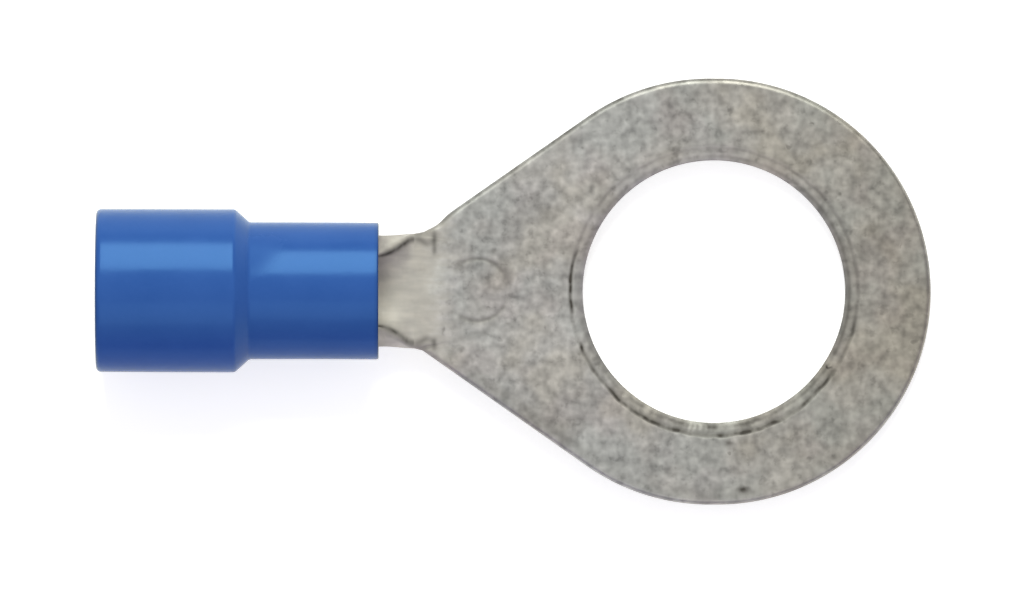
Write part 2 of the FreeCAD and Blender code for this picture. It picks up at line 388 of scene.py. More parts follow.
def tongue_edge(angle, on_neck):
    """Distance to the edge, and how squarely the ray meets it: 1 / sqrt(1 + slope ** 2)."""
    reach = np.where(on_neck, level_end / np.cos(angle), outline_radius(angle))
    pinched = ~on_neck & (angle > 0)
    pinch = pinch_depth * bell(reach * np.cos(angle) - pinch_x, pinch_half)
    reach = reach - np.where(pinched, pinch, 0)
    rise = outline_radius(angle + ANGLE_STEP) - outline_radius(angle - ANGLE_STEP)
    slope = rise / (2 * ANGLE_STEP) / reach
    facing = 1 / np.hypot(1, slope)
    facing = np.where(on_neck, np.abs(np.sin(angle)), facing)
    return reach, np.maximum(facing, neck_half / math.hypot(neck_half, level_end))


print(len(ray_angles()), "rays,", NECK_RAYS, "of them through the neck")

# %% Dent the top
mark_x = level_end + 2.5 * MM
mark_y = 0.06 * MM
mark_radius = 1.24 * MM
mark_half = 0.1 * MM
mark_depth = 0.014 * MM
SHARP_RADIUS = 1e-9


def roll_drop(distance, radius):
    """How far the top lies below the flat at a distance from the edge: a quarter circle."""
    inside = np.clip(1 - distance / max(radius, SHARP_RADIUS), 0, 1)
    return radius * (1 - np.sqrt(1 - inside ** 2))


def mark_dip(x, y):
    """Depth of the stamp's dent: a bell across a circle."""
    return mark_depth * bell(np.hypot(x - mark_x, y - mark_y) - mark_radius, mark_half)


print(f"dent {2 * mark_radius / MM:.2f} mm across, {mark_depth / MM:.3f} mm deep")

# %% [markdown]
# ## The tongue's section
# Each row below is a pair of a radius and a height, worked out for all rays at once. The rows
# across the top lie closest together where the stamp's dent is.

# %% Stack the rows of the section
FIRST_WALL_SHARE = 0.2
FIRST_BEVEL_SHARE = 0.08
ROW_STEPS = (0, 0.2, 0.8, 1)
ROW_SHARES = (0, 0.32, 0.74, 1)


def inner_rows(angle):
    """Rows up the hole's wall, up the bevel and over the bevel's shoulder."""
    rows = [(hole_radius + foot_break, 0), (hole_radius, foot_break)]
    for share in np.linspace(FIRST_WALL_SHARE, 1, HOLE_ROWS):
        rows.append((hole_radius, foot_break + share * (bevel_foot - foot_break)))
    border = bevel_border(angle)
    bevel_reach = border - groove_width / 2 - hole_radius
    swelling = bevel_crown + bevel_ripple * waves(angle, (23, 41, 67, 93), 8)
    for share in np.linspace(FIRST_BEVEL_SHARE, 1, BEVEL_ROWS):
        height = bevel_foot + share * bevel_rise + swelling * math.sin(math.pi * share)
        rows.append((hole_radius + share * bevel_reach, height))
    for share in np.linspace(0, 1, SHOULDER_ROWS + 2)[1:-1]:
        bottom = bite(angle) * groove_depth * math.sin(math.pi * share)
        height = thickness - bevel_shoulder * (1 - smooth_step(share))
        rows.append((border + (share - 0.5) * groove_width, height - bottom))
    return rows


def outer_rows(angle, reach, facing, on_neck):
    """Rows across the top, over the rolled edge, down the side and back underneath."""
    inner = bevel_border(angle) + groove_width / 2
    roll_start = reach - roll_radius / facing
    rows = []
    for share in np.interp(np.linspace(0, 1, TOP_ROWS), ROW_STEPS, ROW_SHARES):
        rows.append((inner + share * (roll_start - inner), thickness))
    for turn in np.linspace(0, QUARTER, ROLL_ROWS + 1)[1:]:
        rows.append((reach - roll_radius * (1 - math.sin(turn)) / facing, thickness))
    side_height = thickness - roll_radius - foot_break
    for share in np.linspace(0, 1, SIDE_ROWS)[1:]:
        rows.append((reach, thickness - roll_radius - share * side_height))
    under_start = reach - np.where(on_neck, 0, foot_break / facing)
    for share in np.linspace(0, 1, UNDER_ROWS):
        rows.append((under_start + share * (under_end - under_start), 0))
    return rows


print(len(inner_rows(ray_angles())), "rows from the hole to the bevel's shoulder")

# %% [markdown]
# ## Painted shade on the tongue
# Painted shade darkens the groove round the bevel, a crease on the bevel, the bevel's lower
# side, which faces the lamp, and the outer rim, most of all on the rim's upper side, where the
# lamp's highlight falls. A wider band inside the rim is darker too. Each is a bell across its
# line, with a level and a few sides where it is stronger. The mesh carries it, because it
# knows how far its edges are.

# %% Spread the painted shade
line_spread = 0.08 * MM
rim_spread = 0.16 * MM
band_inset = 0.42 * MM
band_spread = 0.26 * MM
crease_radius = hole_radius + 0.17 * MM

# Painted shade: the groove, the rim (strongest over the lamp's highlight on its upper side),
# the bevel's lower side and the crease. The band is a darker band inside the rim.
GROOVE_SHADE = 0.85
RIM_RAGGED = 0.06
BAND_RAGGED = 0.25
# Each line: its level, then (angle, spread, amount) with angles in degrees for each side.
RIM_SHADE = (0.16, [(118, 52, 0.44)])
BAND_DARKENING = (0.05, [(215, 18, 0.36), (270, 35, 0.12), (145, 20, 0.12)])
BEVEL_SHADE = (0, [(-90, 60, 0.5), (0, 60, 0.05)])
CREASE_SHADE = (0.18, [(8, 62, 0.26)])


def gathered(angle, line_darkening):
    """How dark a line is at each angle: its level plus one bell per side."""
    level, sides = line_darkening
    return level + sum(amount * around_angle(angle, at, spread) for at, spread, amount in sides)


def spread_shade(angle, radius, to_edge, row):
    """Painted shade at each point, 0 to about 1, none on the hole's wall or the underside."""
    ragged = waves(angle, (5, 9, 16, 27, 43), 12)
    groove = GROOVE_SHADE * bite(angle)
    rim = gathered(angle, RIM_SHADE) + RIM_RAGGED * ragged
    band = gathered(angle, BAND_DARKENING) * (1 + BAND_RAGGED * ragged)
    crease = gathered(angle, CREASE_SHADE)
    in_groove = groove[:, None] * bell(radius - bevel_border(angle)[:, None], line_spread)
    dirt = np.maximum(in_groove, rim[:, None] * bell(to_edge, rim_spread))
    dirt = dirt + band[:, None] * bell(to_edge - band_inset, band_spread)
    on_bevel = gathered(angle, BEVEL_SHADE)[:, None]
    on_bevel = on_bevel + crease[:, None] * bell(radius - crease_radius, line_spread)
    dirt = dirt + np.where((row >= BEVEL_START) & (row < TOP_START), on_bevel, 0)
    return np.where((row >= BEVEL_START) & (row < SIDE_END), dirt, 0)


print(f"rim dirt on the upper side {gathered(QUARTER, RIM_SHADE):.2f}")

# %% Compute the tongue


def tongue_patch():
    """Points by ray and place round the section. The neck's cut end gets no faces."""
    angle = ray_angles()
    on_neck = np.arange(len(angle)) >= RING_RAYS
    reach, facing = tongue_edge(angle, on_neck)
    rows = inner_rows(angle) + outer_rows(angle, reach, facing, on_neck)
    radius = np.stack([r + 0 * angle for r, _ in rows], 1)
    height = np.stack([h + 0 * angle for _, h in rows], 1)
    x = radius * np.cos(angle)[:, None]
    y = radius * np.sin(angle)[:, None]

    to_edge = (reach[:, None] - radius) * facing[:, None]
    to_edge = np.where(on_neck[:, None], neck_half - np.abs(y), to_edge)
    row = np.arange(len(rows))[None, :]
    dented = height - roll_drop(to_edge, roll_radius) - mark_dip(x, y)
    height = np.where((row >= TOP_START) & (row < TOP_END), dented, height)
    height = np.where(row >= SIDE_END, roll_drop(to_edge, foot_break), height)

    quads = grid_faces(*radius.shape, close_rows=True, close_columns=True)
    ray = quads[:, 0] // len(rows)
    place = quads[:, 0] % len(rows)
    cut_end = (ray >= RING_RAYS) & (ray < len(angle) - 1)
    cut_end &= (place >= TOP_END - 1) & (place < SIDE_END)
    points = np.stack([x, y, height], axis=-1)
    return points, quads[~cut_end], spread_shade(angle, radius, to_edge, row)


tongue_points, tongue_quads, tongue_shade = tongue_patch()
print("tongue grid:", tongue_points.shape[:2])

# %% [markdown]
# ## The trough
# Behind the tongue the strip is rolled: each wall curls up round the barrel's axis, more and
# more towards the barrel, and the floor drops a little, because the barrel hangs lower than
# the tongue. Rolling keeps lengths along the strip's underside, so a point's distance across
# the strip becomes an angle on a circle of the underside's radius. Share runs from 1 at the
# level tongue to 0 at the barrel's mouth, where the strip's edges turn square.

# %% Take the strip's section
EDGE_GROWTH = 3
TROUGH_ROWS = 36


def strip_loop(share):
    """The section's loop of (place across from -1 to 1, height): top, side, under, side."""
    place = neck_positions() / neck_half
    rounding = smooth_step(EDGE_GROWTH * share)
    near_edge = neck_half * (1 - np.abs(place))
    top = thickness - roll_drop(near_edge, roll_radius * rounding)
    under = roll_drop(near_edge, foot_break * rounding)
    down = np.linspace(0, 1, SIDE_ROWS)[1:-1]
    side = top[0] + down * (under[0] - top[0])
    across = np.concatenate([place, -np.ones(len(side)), place[::-1], np.ones(len(side))])
    return across, np.concatenate([top, side, under[::-1], side[::-1]])


print("points round the strip:", len(strip_loop(1)[0]))

# %% Roll the trough
tongue_lift = barrel_radius - axis_height
mouth_curl = math.radians(82)
mouth_half = barrel_radius * math.sin(mouth_curl)
LIFT_SHARE = 0.65
CURL_EASE = 0.2


def eased(share):
    """Goes from 0 to 1 with a soft start and then a straight rise."""
    soft = np.minimum(share, CURL_EASE)
    return (soft ** 2 / (2 * CURL_EASE) + share - soft) / (1 - CURL_EASE / 2)


def roll_strip(share):
    """One row of the trough: each point's place across becomes an angle on a circle."""
    across, height = strip_loop(share)
    curl = mouth_curl * eased(1 - share)
    half_width = mouth_half + (neck_half - mouth_half) * smooth_step(share)
    floor = -tongue_lift * (1 - smooth_step(share / LIFT_SHARE))
    x = np.full_like(across, mouth_x + share * (level_end - mouth_x))
    if curl == 0:
        return np.stack([x, across * neck_half, floor + height], 1)
    radius = half_width / math.sin(curl)
    arm = radius - height
    angle = across * curl
    return np.stack([x, arm * np.sin(angle), floor + radius - arm * np.cos(angle)], 1)


trough_shares = np.linspace(1, 0, TROUGH_ROWS)
trough_points = np.stack([roll_strip(share) for share in trough_shares])
trough_quads = grid_faces(*trough_points.shape[:2], close_columns=True)
print("trough grid:", trough_points.shape[:2])

# %% Paint shade in the fold
fold_inset = 0.22 * MM
fold_spread = 0.16 * MM
FOLD_SHADE = 0.8
FOLD_FADE = 1.6
FOLD_END = 1.25
TOP_SIDE = 0.6


def fold_shade(share):
    """Painted shade in the fold just inside each edge of the strip, fading towards the tongue.
    """
    across, height = strip_loop(share)
    to_fold = neck_half * (1 - np.abs(across)) - fold_inset
    amount = FOLD_SHADE * smooth_step(FOLD_FADE * (FOLD_END - share))
    return np.where(height > TOP_SIDE * thickness, amount * bell(to_fold, fold_spread), 0)


trough_shade = np.stack([fold_shade(share) for share in trough_shares])
print(f"most dirt in the fold {trough_shade.max():.2f}")

# %% [markdown]
# ## The barrel
# The barrel is the strip rolled shut, with its two cut edges brazed together along the top.
# One profile does for it: along the bore from the mouth, over three grip grooves, round the
# chamfered entry and back along the outside. It is carried round the axis, with a shallow
# groove at the braze. The rim above the mouth is one more small patch.

# %% Draw the barrel's profile
entry_chamfer = 0.15 * MM
grip_pitch = 1.15 * MM
grip_half = 0.2 * MM
grip_depth = 0.12 * MM
UPPER_RAYS = 60
BORE_ROWS = 80
REAR_ROWS = 4
WALL_ROWS = 40


def barrel_profile():
    """Rows of (x, distance from the axis): bore, chamfer, rear rim and outside."""
    x = np.linspace(mouth_x, barrel_rear + entry_chamfer, BORE_ROWS)
    middle = (mouth_x + barrel_rear) / 2
    to_groove = np.min([np.abs(x - middle - k * grip_pitch) for k in (-1, 0, 1)], axis=0)
    bore = bore_radius + grip_depth * (1 - smooth_step(to_groove / grip_half))
    chamfered = bore_radius + entry_chamfer
    rim = np.linspace(chamfered, barrel_radius, REAR_ROWS + 1)
    outside = np.linspace(barrel_rear, mouth_x, WALL_ROWS)[1:]
    rear = np.full(REAR_ROWS + 1, barrel_rear)
    radii = [bore, rim, np.full(len(outside), barrel_radius)]
    return np.concatenate([x, rear, outside]), np.concatenate(radii)


barrel_x, barrel_r = barrel_profile()
print("rows of the barrel's profile:", len(barrel_x))

# %% Carry the profile round the axis
outer_seam = (0.13 * MM, 0.13 * MM)
inner_seam = (0.6 * outer_seam[0], 0.5 * outer_seam[1])


def seam_dip(angle, radius, seam):
    """Depth of the braze groove: a bell across the top, from (half width, depth)."""
    half, depth = seam
    return depth * bell(np.abs(np.abs(angle) - math.pi) * radius, half)


def around(angle, x, radius):
    """Points on circles round the barrel's axis, with the angle counted from below."""
    return np.stack([
        x + 0 * radius,
        radius * np.sin(angle),
        axis_height - radius * np.cos(angle),
    ], axis=-1)


lower_angle = mouth_curl * neck_positions() / neck_half
upper_angle = np.linspace(-mouth_curl, mouth_curl - 2 * math.pi, UPPER_RAYS)
barrel_angle = np.concatenate([lower_angle, upper_angle[1:-1]])
is_outside = np.arange(len(barrel_x)) >= BORE_ROWS + REAR_ROWS + 1
dip_in = seam_dip(barrel_angle, bore_radius, inner_seam)
dip_out = seam_dip(barrel_angle, barrel_radius, outer_seam)
dip = np.where(is_outside[None, :], -dip_out[:, None], dip_in[:, None])
barrel_points = around(barrel_angle[:, None], barrel_x[None, :], barrel_r[None, :] + dip)
barrel_quads = grid_faces(*barrel_points.shape[:2], close_rows=True)
print("barrel grid:", barrel_points.shape[:2])

# %% Close the rim above the mouth
rim_share = np.linspace(0, 1, SIDE_ROWS)
inner_rim = bore_radius + seam_dip(upper_angle, bore_radius, inner_seam)
outer_rim = barrel_radius - seam_dip(upper_angle, barrel_radius, outer_seam)
rim_radius = inner_rim[:, None] + rim_share[None, :] * (outer_rim - inner_rim)[:, None]
rim_points = around(upper_angle[:, None], mouth_x, rim_radius)
rim_quads = grid_faces(*rim_points.shape[:2])
print("rim grid:", rim_points.shape[:2])

# %% Build the metal piece
metal = build_piece("tinned_terminal", [
    (tongue_points, tongue_quads, tongue_shade),
    (trough_points, trough_quads[:, ::-1], trough_shade),
    (barrel_points, barrel_quads, np.zeros(barrel_points.shape[:2])),
    (rim_points, rim_quads[:, ::-1], np.zeros(rim_points.shape[:2])),
], "ring_terminal")

# %% [markdown]
# ## The sleeve
# The sleeve is a soft vinyl moulding. Its section is a stepped tube: wide where the wire's
# insulation goes in, narrow over the barrel, with a cone between them outside and a funnel
# inside that leads the strands into the barrel. It is a profile carried round the axis, with
# a small curve at each corner, because a moulding has no sharp ones.

# %% Round the corners of a section
ROUND_ROWS = 9


def rounded_path(corners):
    """A closed section from (x, radius, rounding, rows to the next corner) at each corner.

    Each corner becomes a quadratic curve that leaves one side and joins the next, tangent
    to both, at the rounding's distance from the corner.
    """
    path = []
    count = len(corners)
    for k in range(count):
        before = np.array(corners[k - 1][:2])
        here = np.array(corners[k][:2])
        after = np.array(corners[(k + 1) % count][:2])
        rounding, rows = corners[k][2:]
        start = here + (before - here) / np.linalg.norm(before - here) * rounding
        end = here + (after - here) / np.linalg.norm(after - here) * rounding
        t = np.linspace(0, 1, ROUND_ROWS)[:, None]
        path.append((1 - t) ** 2 * start + 2 * t * (1 - t) * here + t ** 2 * end)
        following = corners[(k + 1) % count]
        back = (here - after) / np.linalg.norm(here - after) * following[2]
        t = np.linspace(0, 1, rows + 2)[1:-1, None]
        path.append((1 - t) * end + t * (after + back))
    return np.concatenate(path)


print("points on each rounded corner:", ROUND_ROWS)

# %% Draw the sleeve's section
seat_radius = barrel_radius + 0.01 * MM
front_radius = seat_radius + 0.49 * MM
cone_foot = barrel_rear + 0.41 * MM
cone_top = cone_foot - 0.58 * MM
cone_rounding = 0.09 * MM
throat_rear = barrel_rear - 0.35 * MM
funnel_angle = math.radians(36.5)
funnel_end = throat_rear - (entry_radius - bore_radius) / math.tan(funnel_angle)
front_chamfer = 0.12 * MM
rear_chamfer = 0.25 * MM

sleeve_section = rounded_path([  # x, radius, rounding, rows to the next corner
    (sleeve_rear, sleeve_radius, 0.24 * MM, 40),
    (cone_top, sleeve_radius, cone_rounding, 4),
    (cone_foot, front_radius, cone_rounding, 36),
    (sleeve_front, front_radius, 0.08 * MM, 2),
    (sleeve_front, seat_radius + front_chamfer, 0.03 * MM, 1),
    (sleeve_front - front_chamfer, seat_radius, 0.03 * MM, 24),
    (barrel_rear, seat_radius, 0.03 * MM, 3),
    (barrel_rear, bore_radius, 0.05 * MM, 3),
    (throat_rear, bore_radius, 0.08 * MM, 8),
    (funnel_end, entry_radius, 0.15 * MM, 20),
    (sleeve_rear + rear_chamfer, entry_radius, 0.06 * MM, 2),
    (sleeve_rear, entry_radius + rear_chamfer, 0.05 * MM, 2),
])
print("points round the sleeve's section:", len(sleeve_section))

# %% [markdown]
# ## A soft skin
# A soft moulding is never quite round or straight. Two slow waves, one oval and one with
# three lobes, move the outer skin in by about a hundredth of a millimetre. The bores keep
# their sizes. Both ends get a thin line of painted shade.

# %% Carry the sleeve's section round the axis
skin_inset = 0.012 * MM
skin_fade = 0.2 * MM
oval_length = 1.9 * MM
lobe_length = 1.3 * MM
end_spread = 0.07 * MM
OVAL_TURN = 0.7
LOBE_SHARE = 0.6
WAVE_SHARE = 0.5
END_SHADE = 0.6
SLEEVE_RAYS = 288

sleeve_angle = np.linspace(0, 2 * math.pi, SLEEVE_RAYS, endpoint=False)[:, None]
sleeve_x = sleeve_section[None, :, 0]
skin_share = smooth_step((sleeve_section[None, :, 1] - entry_radius) / skin_fade)
oval = np.sin(2 * sleeve_angle + OVAL_TURN) * np.sin(sleeve_x / oval_length)
slow_wave = oval + LOBE_SHARE * np.sin(3 * sleeve_angle - sleeve_x / lobe_length)
inset = skin_inset * skin_share * (1 + WAVE_SHARE * slow_wave)
sleeve_points = around(sleeve_angle, sleeve_x, sleeve_section[None, :, 1] - inset)
sleeve_quads = grid_faces(*sleeve_points.shape[:2], close_rows=True, close_columns=True)
from_end = np.minimum(sleeve_x - sleeve_rear, sleeve_front - sleeve_x)
# Painted shade: a thin dark line at both ends of the sleeve.
sleeve_end_shade = END_SHADE * bell(from_end, end_spread) + 0 * sleeve_angle
sleeve = build_piece("vinyl_sleeve", [(sleeve_points, sleeve_quads[:, ::-1], sleeve_end_shade)],
                     "insulating_sleeve")

# %% [markdown]
# ## Shader maths as Python
# A material is a graph of nodes, which is hard to read as a list of links. One small class
# wraps an output socket, and Python's operators add the matching Math nodes, so that a mask
# can be written as `1 - mask`. Every other kind of node comes from its one method.

# %% Wrap a socket


class Flow:
    """One output socket of a material. Operators on it add Math or Vector Math nodes."""

    def __init__(self, tree, socket):
        self.tree = tree
        self.socket = socket

    def node(self, kind, settings=None, inputs=None, output=0):
        """Adds a node, sets its settings, then its sockets, and wraps one of its outputs."""
        made = self.tree.nodes.new(kind)
        for key, value in (settings or {}).items():
            setattr(made, key, value)
        for key, value in (inputs or {}).items():
            if isinstance(value, Flow):
                self.tree.links.new(value.socket, made.inputs[key])
            else:
                made.inputs[key].default_value = value
        return Flow(self.tree, made.outputs[output])

    def maths(self, operation, first, second):
        """A Math node on numbers, or a Vector Math node where this socket is a vector."""
        vector = self.socket.type == "VECTOR"
        kind = "ShaderNodeVectorMath" if vector else "ShaderNodeMath"
        if vector:
            first, second = (
                v if isinstance(v, (Flow, tuple)) else (v, v, v) for v in (first, second)
            )
        return self.node(kind, {"operation": operation}, {0: first, 1: second})

    def __add__(self, other):
        return self.maths("ADD", self, other)

    def __radd__(self, other):
        return self.maths("ADD", other, self)

    def __sub__(self, other):
        return self.maths("SUBTRACT", self, other)

    def __rsub__(self, other):
        return self.maths("SUBTRACT", other, self)

    def __mul__(self, other):
        return self.maths("MULTIPLY", self, other)

    def __rmul__(self, other):
        return self.maths("MULTIPLY", other, self)

    def __pow__(self, other):
        return self.maths("POWER", self, other)

    def between(self, low, high):
        """0 at low, 1 at high and a smooth rise between them."""
        return self.node("ShaderNodeMapRange", {"interpolation_type": "SMOOTHSTEP"},
                         {"Value": self, "From Min": low, "From Max": high})

    def bell(self, centre, spread):
        """1 at the centre, falling to 0 with distance: exp(-((v - centre) / spread) ** 2)."""
        gap = (self - centre) * (1 / spread)
        return self.maths("POWER", math.e, gap * gap * -1)

    def length(self):
        """The length of a vector."""
        return self.node("ShaderNodeVectorMath", {"operation": "LENGTH"}, {0: self}, "Value")

    def part(self, axis):
        """The X, Y or Z of a vector."""
        return self.node("ShaderNodeSeparateXYZ", None, {0: self}, axis)

    def noise(self, scale, detail=2.0, roughness=0.5, stretch=None, shift=None):
        """Cloudy noise, about 0.5 on average. A shift sets it apart from other noises."""
        vector = self
        if stretch is not None:
            vector = vector * stretch
        if shift is not None:
            vector = vector + shift
        return self.node("ShaderNodeTexNoise", None, {
            "Vector": vector, "Scale": scale, "Detail": detail, "Roughness": roughness,
        }, "Fac")

    def tinted(self, colour, share):
        """This colour multiplied by another, as far as share says."""
        return self.node("ShaderNodeMix", {"data_type": "RGBA", "blend_type": "MULTIPLY"},
                         {0: share, 6: self, 7: colour}, 2)

    def blend(self, low, high):
        """A colour that goes from low to high as this number goes from 0 to 1."""
        return self.node("ShaderNodeMix", {"data_type": "RGBA", "clamp_factor": True},
                         {0: self, 6: low, 7: high}, 2)


print("sockets can be added, multiplied and blended")

# %% Start a material


def new_material(name):
    """A material with one Principled shader, and its object coordinates in millimetres."""
    material = bpy.data.materials.new(name)
    material.use_nodes = True
    tree = material.node_tree
    shader = tree.nodes["Principled BSDF"]
    coordinates = tree.nodes.new("ShaderNodeTexCoord")
    place = Flow(tree, coordinates.outputs["Object"]) * (1 / MM)
    return material, shader, place


def feed(shader, name, flow):
    """Links a flow to one of the shader's sockets."""
    flow.tree.links.new(flow.socket, shader.inputs[name])


def screen_colour(red, green, blue):
    """A colour as it looks on a screen, from 0 to 255, as the linear values Blender wants."""
    values = np.array([red, green, blue]) / 255
    linear = np.where(values < 0.04045, values / 12.92, ((values + 0.055) / 1.055) ** 2.4)
    return (*linear.tolist(), 1.0)


def mottled(level, *parts):
    """A level plus (weight, noise) parts, each noise counted from its mean of one half."""
    total = level
    for weight, noise in parts:
        total = total + weight * (noise - 0.5)
    return total


def relief_bump(height, strength, depth):
    """A bump from a height, as strong as strength says and depth millimetres high."""
    return height.node("ShaderNodeBump", None, {
        "Strength": strength, "Distance": depth * MM, "Height": height,
    })


print(f"middle grey on a screen is {screen_colour(128, 128, 128)[0]:.3f} in linear light")

# %% [markdown]
# ## Tin plating
# The copper strip is plated with matt tin and then tumbled in a barrel with the other lugs.
# It is a rough metal: no clear reflections, but soft dull and bright flecks a quarter of a
# millimetre wide, and wider clouds that lean very slightly to a cool grey, pink or straw. A
# picture of real tin would do, but noise at the flecks' true size stays sharp at any distance.
# Scale is in waves to a millimetre, and weights say how much each noise counts.

# %% Make the flecks and clouds
DULL_TIN = screen_colour(138, 136, 133)
BRIGHT_TIN = screen_colour(195, 192, 188)
COOL_TINT = (0.97, 1.0, 1.01, 1)
PINK_TINT = (1.0, 0.98, 0.99, 1)
STRAW_TINT = (1.0, 0.98, 0.94, 1)

tin, tin_shader, place = new_material("matt_tin")
x, y, z = (place.part(axis) for axis in "XYZ")
flecks = place.noise(scale=2.6, detail=1.6)
grains = place.noise(scale=6.0, detail=0.5)
clouds = place.noise(scale=0.7)
streaks = place.noise(scale=1.3, detail=1.5, stretch=(2.6, 1.0, 1.0), shift=3.7)
cross_streaks = place.noise(scale=1.1, detail=1.5, stretch=(0.8, 3.2, 1.0), shift=11.3)
warm_clouds = place.noise(scale=0.3, shift=7.3)
cool_clouds = place.noise(scale=0.45, shift=19.1)
scuffs = place.noise(scale=2.3, detail=2.5, roughness=0.6, shift=31.7).between(0.55, 0.72)

mottle = mottled(0.52, (1.25, flecks), (0.2, grains), (0.8, clouds), (0.4, streaks),
                 (0.2, cross_streaks))
tin_colour = (mottle - 0.3 * scuffs).blend(DULL_TIN, BRIGHT_TIN)
tin_colour = tin_colour.tinted(COOL_TINT, warm_clouds.between(0.5, 0.62))
tin_colour = tin_colour.tinted(PINK_TINT, cool_clouds.between(0.5, 0.64))
tin_colour = tin_colour.tinted(STRAW_TINT, warm_clouds.between(0.5, 0.38))
print("tin nodes so far:", len(tin.node_tree.nodes))

# %% [markdown]
# ## Marks of the press
# The press that curls the neck rubs its tin bright, as far as a wavy line. Where its jaws
# ended it left a short step across each side of the neck, with a fold beside it; painted shade
# marks both. Each is a bell across its own line, in millimetres. The stamp's ring has its dent
# in the mesh, and painted shade in it fades out towards the neck and along the middle.

# %% Burnish the neck
BURNISHED_DULL = screen_colour(186, 182, 176)
BURNISHED_BRIGHT = screen_colour(213, 208, 200)
BURNISHED_SHARE = 0.8
NECK_END = corner_x / MM

wavy_x = mottled(x, (1.6, cross_streaks), (0.6, flecks))
burnished = 1 - wavy_x.between(NECK_END + 0.2, NECK_END + 1.5)
rubbed = mottled(0.5, (1, clouds), (1.4, cross_streaks), (0.9, flecks))
rubbed_tin = rubbed.blend(BURNISHED_DULL, BURNISHED_BRIGHT)
tin_colour = (burnished * BURNISHED_SHARE).blend(tin_colour, rubbed_tin)
print(f"burnished up to about {NECK_END:.1f} mm")

# %% Paint shade at the step, the fold and the stamp's ring
STEP_X = NECK_END + 0.58
FOLD_X = NECK_END + 0.1
FOLD_BEND_X = NECK_END + 0.3
MARK_X, MARK_Y = mark_x / MM, mark_y / MM

# Painted shade: a line at the press's step, a shadow in the neck's fold and two arcs in the
# stamp's dent.
from_axis = (y * y) ** 0.5
step_ends = y.between(1.3, 1.6) + (y * -1).between(1.75, 2.0) * 0.8
step_shade = x.bell(centre=STEP_X, spread=0.11) * step_ends
step_shade = step_shade * (1 - from_axis.between(2.2, 2.6))
fold_line = from_axis + 0.16 * x.bell(centre=FOLD_BEND_X, spread=0.26)
fold_shadow = fold_line.bell(centre=2.08, spread=0.15) * x.bell(centre=FOLD_X, spread=0.5)

from_mark = ((place - (MARK_X, MARK_Y, 0)) * (1, 1, 0)).length()
ring_shade = from_mark.bell(centre=mark_radius / MM, spread=0.13)
ring_shade = ring_shade * (1 - 0.8 * y.bell(centre=0, spread=0.85))
ring_shade = ring_shade * (0.6 + cross_streaks * 0.6)
ring_shade = ring_shade * x.between(MARK_X - 1.15, MARK_X - 0.45)
press_shade = step_shade * 0.5 + fold_shadow * 0.5 + ring_shade * 0.66
print(f"stamp's ring at {MARK_X:.2f} mm")

# %% [markdown]
# ## Pits and ticks
# Small pits lie all over the plating where the tin has not taken. The distance to the nearest
# of many scattered points, which a Voronoi texture gives, makes them. A few deep ones are
# placed one by one. The punch has left fine ticks across the bevel on its lower side: a sine
# of the angle. All marks lie on the upper side of the strip only.

# %% Add pits and ticks
PIT_SHADE = 0.45
TICK_SHADE = 0.14
TICKS_PER_TURN = 157
TICK_ANGLE = math.radians(-97)
BEVEL_MIDDLE = (hole_radius + bevel_width / 2) / MM
DEEP_PITS = [  # x, y and size in millimetres, strength
    (1.18, -7.9, 0.17, 2.0),
    (0.6, -6.05, 0.14, 1.6),
    (-8.84, 1.59, 0.09, 0.9),
    (-8.24, -1.27, 0.1, 0.8),
]

bent_place = place + flecks * 0.7 + 3.1
cells = {"Vector": bent_place, "Scale": 0.5}
to_pit = place.node("ShaderNodeTexVoronoi", None, cells, "Distance")
pits = 1 - to_pit.between(0.03, 0.1)
for pit_x, pit_y, size, strength in DEEP_PITS:
    from_pit = (place + (0.3 * flecks - 0.15) - (pit_x, pit_y, 0)) * (0.75, 1.0, 0.0)
    pits = pits + from_pit.length().bell(0, size) * strength

round_hole = y.maths("ARCTAN2", y, x)
ticks = y.maths("SINE", round_hole * TICKS_PER_TURN + 5 * flecks, 0.0)
ticks = ticks * round_hole.bell(centre=TICK_ANGLE, spread=0.1)
ticks = ticks * (place * (1, 1, 0)).length().bell(centre=BEVEL_MIDDLE, spread=0.16)
above_plate = z.between(0.5, 0.6)
marks = (press_shade + pits * PIT_SHADE * (1 - burnished) + ticks * TICK_SHADE) * above_plate
print("tin nodes so far:", len(tin.node_tree.nodes))

# %% [markdown]
# ## Painted shade and shine
# The mesh says where painted shade lies, and noise makes it patchy. With the press marks, pits
# and ticks it lowers Metallic as well as darkening the colour. The ring is warmer than the
# neck, and painted shade makes it darker towards its tip. Rubbed tin is pale but full of fine
# lines, so it counts as rough. The bump stays under a hundredth of a millimetre: the real
# shapes are in the mesh.

# %% Paint shade on the tin and set its shine
SHADE_AND_PIT_COLOUR = screen_colour(60, 56, 50)
TIP_SHADE_AND_WARMTH = (0.85, 0.83, 0.77, 1)

patchy = place.noise(scale=1.6, shift=23.3).between(0.36, 0.64)
dirt = place.node("ShaderNodeAttribute", {"attribute_name": "dirt"}, output="Fac")
dirt = dirt * (0.72 + 0.5 * patchy)
shade_and_marks = dirt + marks
# Warmer tone, plus painted shade that darkens the ring towards its tip.
tin_colour = tin_colour.tinted(TIP_SHADE_AND_WARMTH, x.between(-7, 10))
feed(tin_shader, "Base Color", shade_and_marks.blend(tin_colour, SHADE_AND_PIT_COLOUR))
feed(tin_shader, "Metallic", 1 - 0.6 * shade_and_marks)
rough = mottled(0.42, (0.22, flecks), (0.1, clouds)) + 0.36 * burnished + 0.3 * dirt
feed(tin_shader, "Roughness", rough)
relief = (0.6 * flecks + 0.25 * grains + 0.5 * streaks) * (1 - 0.7 * burnished) - 0.5 * marks
feed(tin_shader, "Normal", relief_bump(relief, strength=0.7, depth=0.009))
metal.data.materials.append(tin)
print("tin nodes:", len(tin.node_tree.nodes))

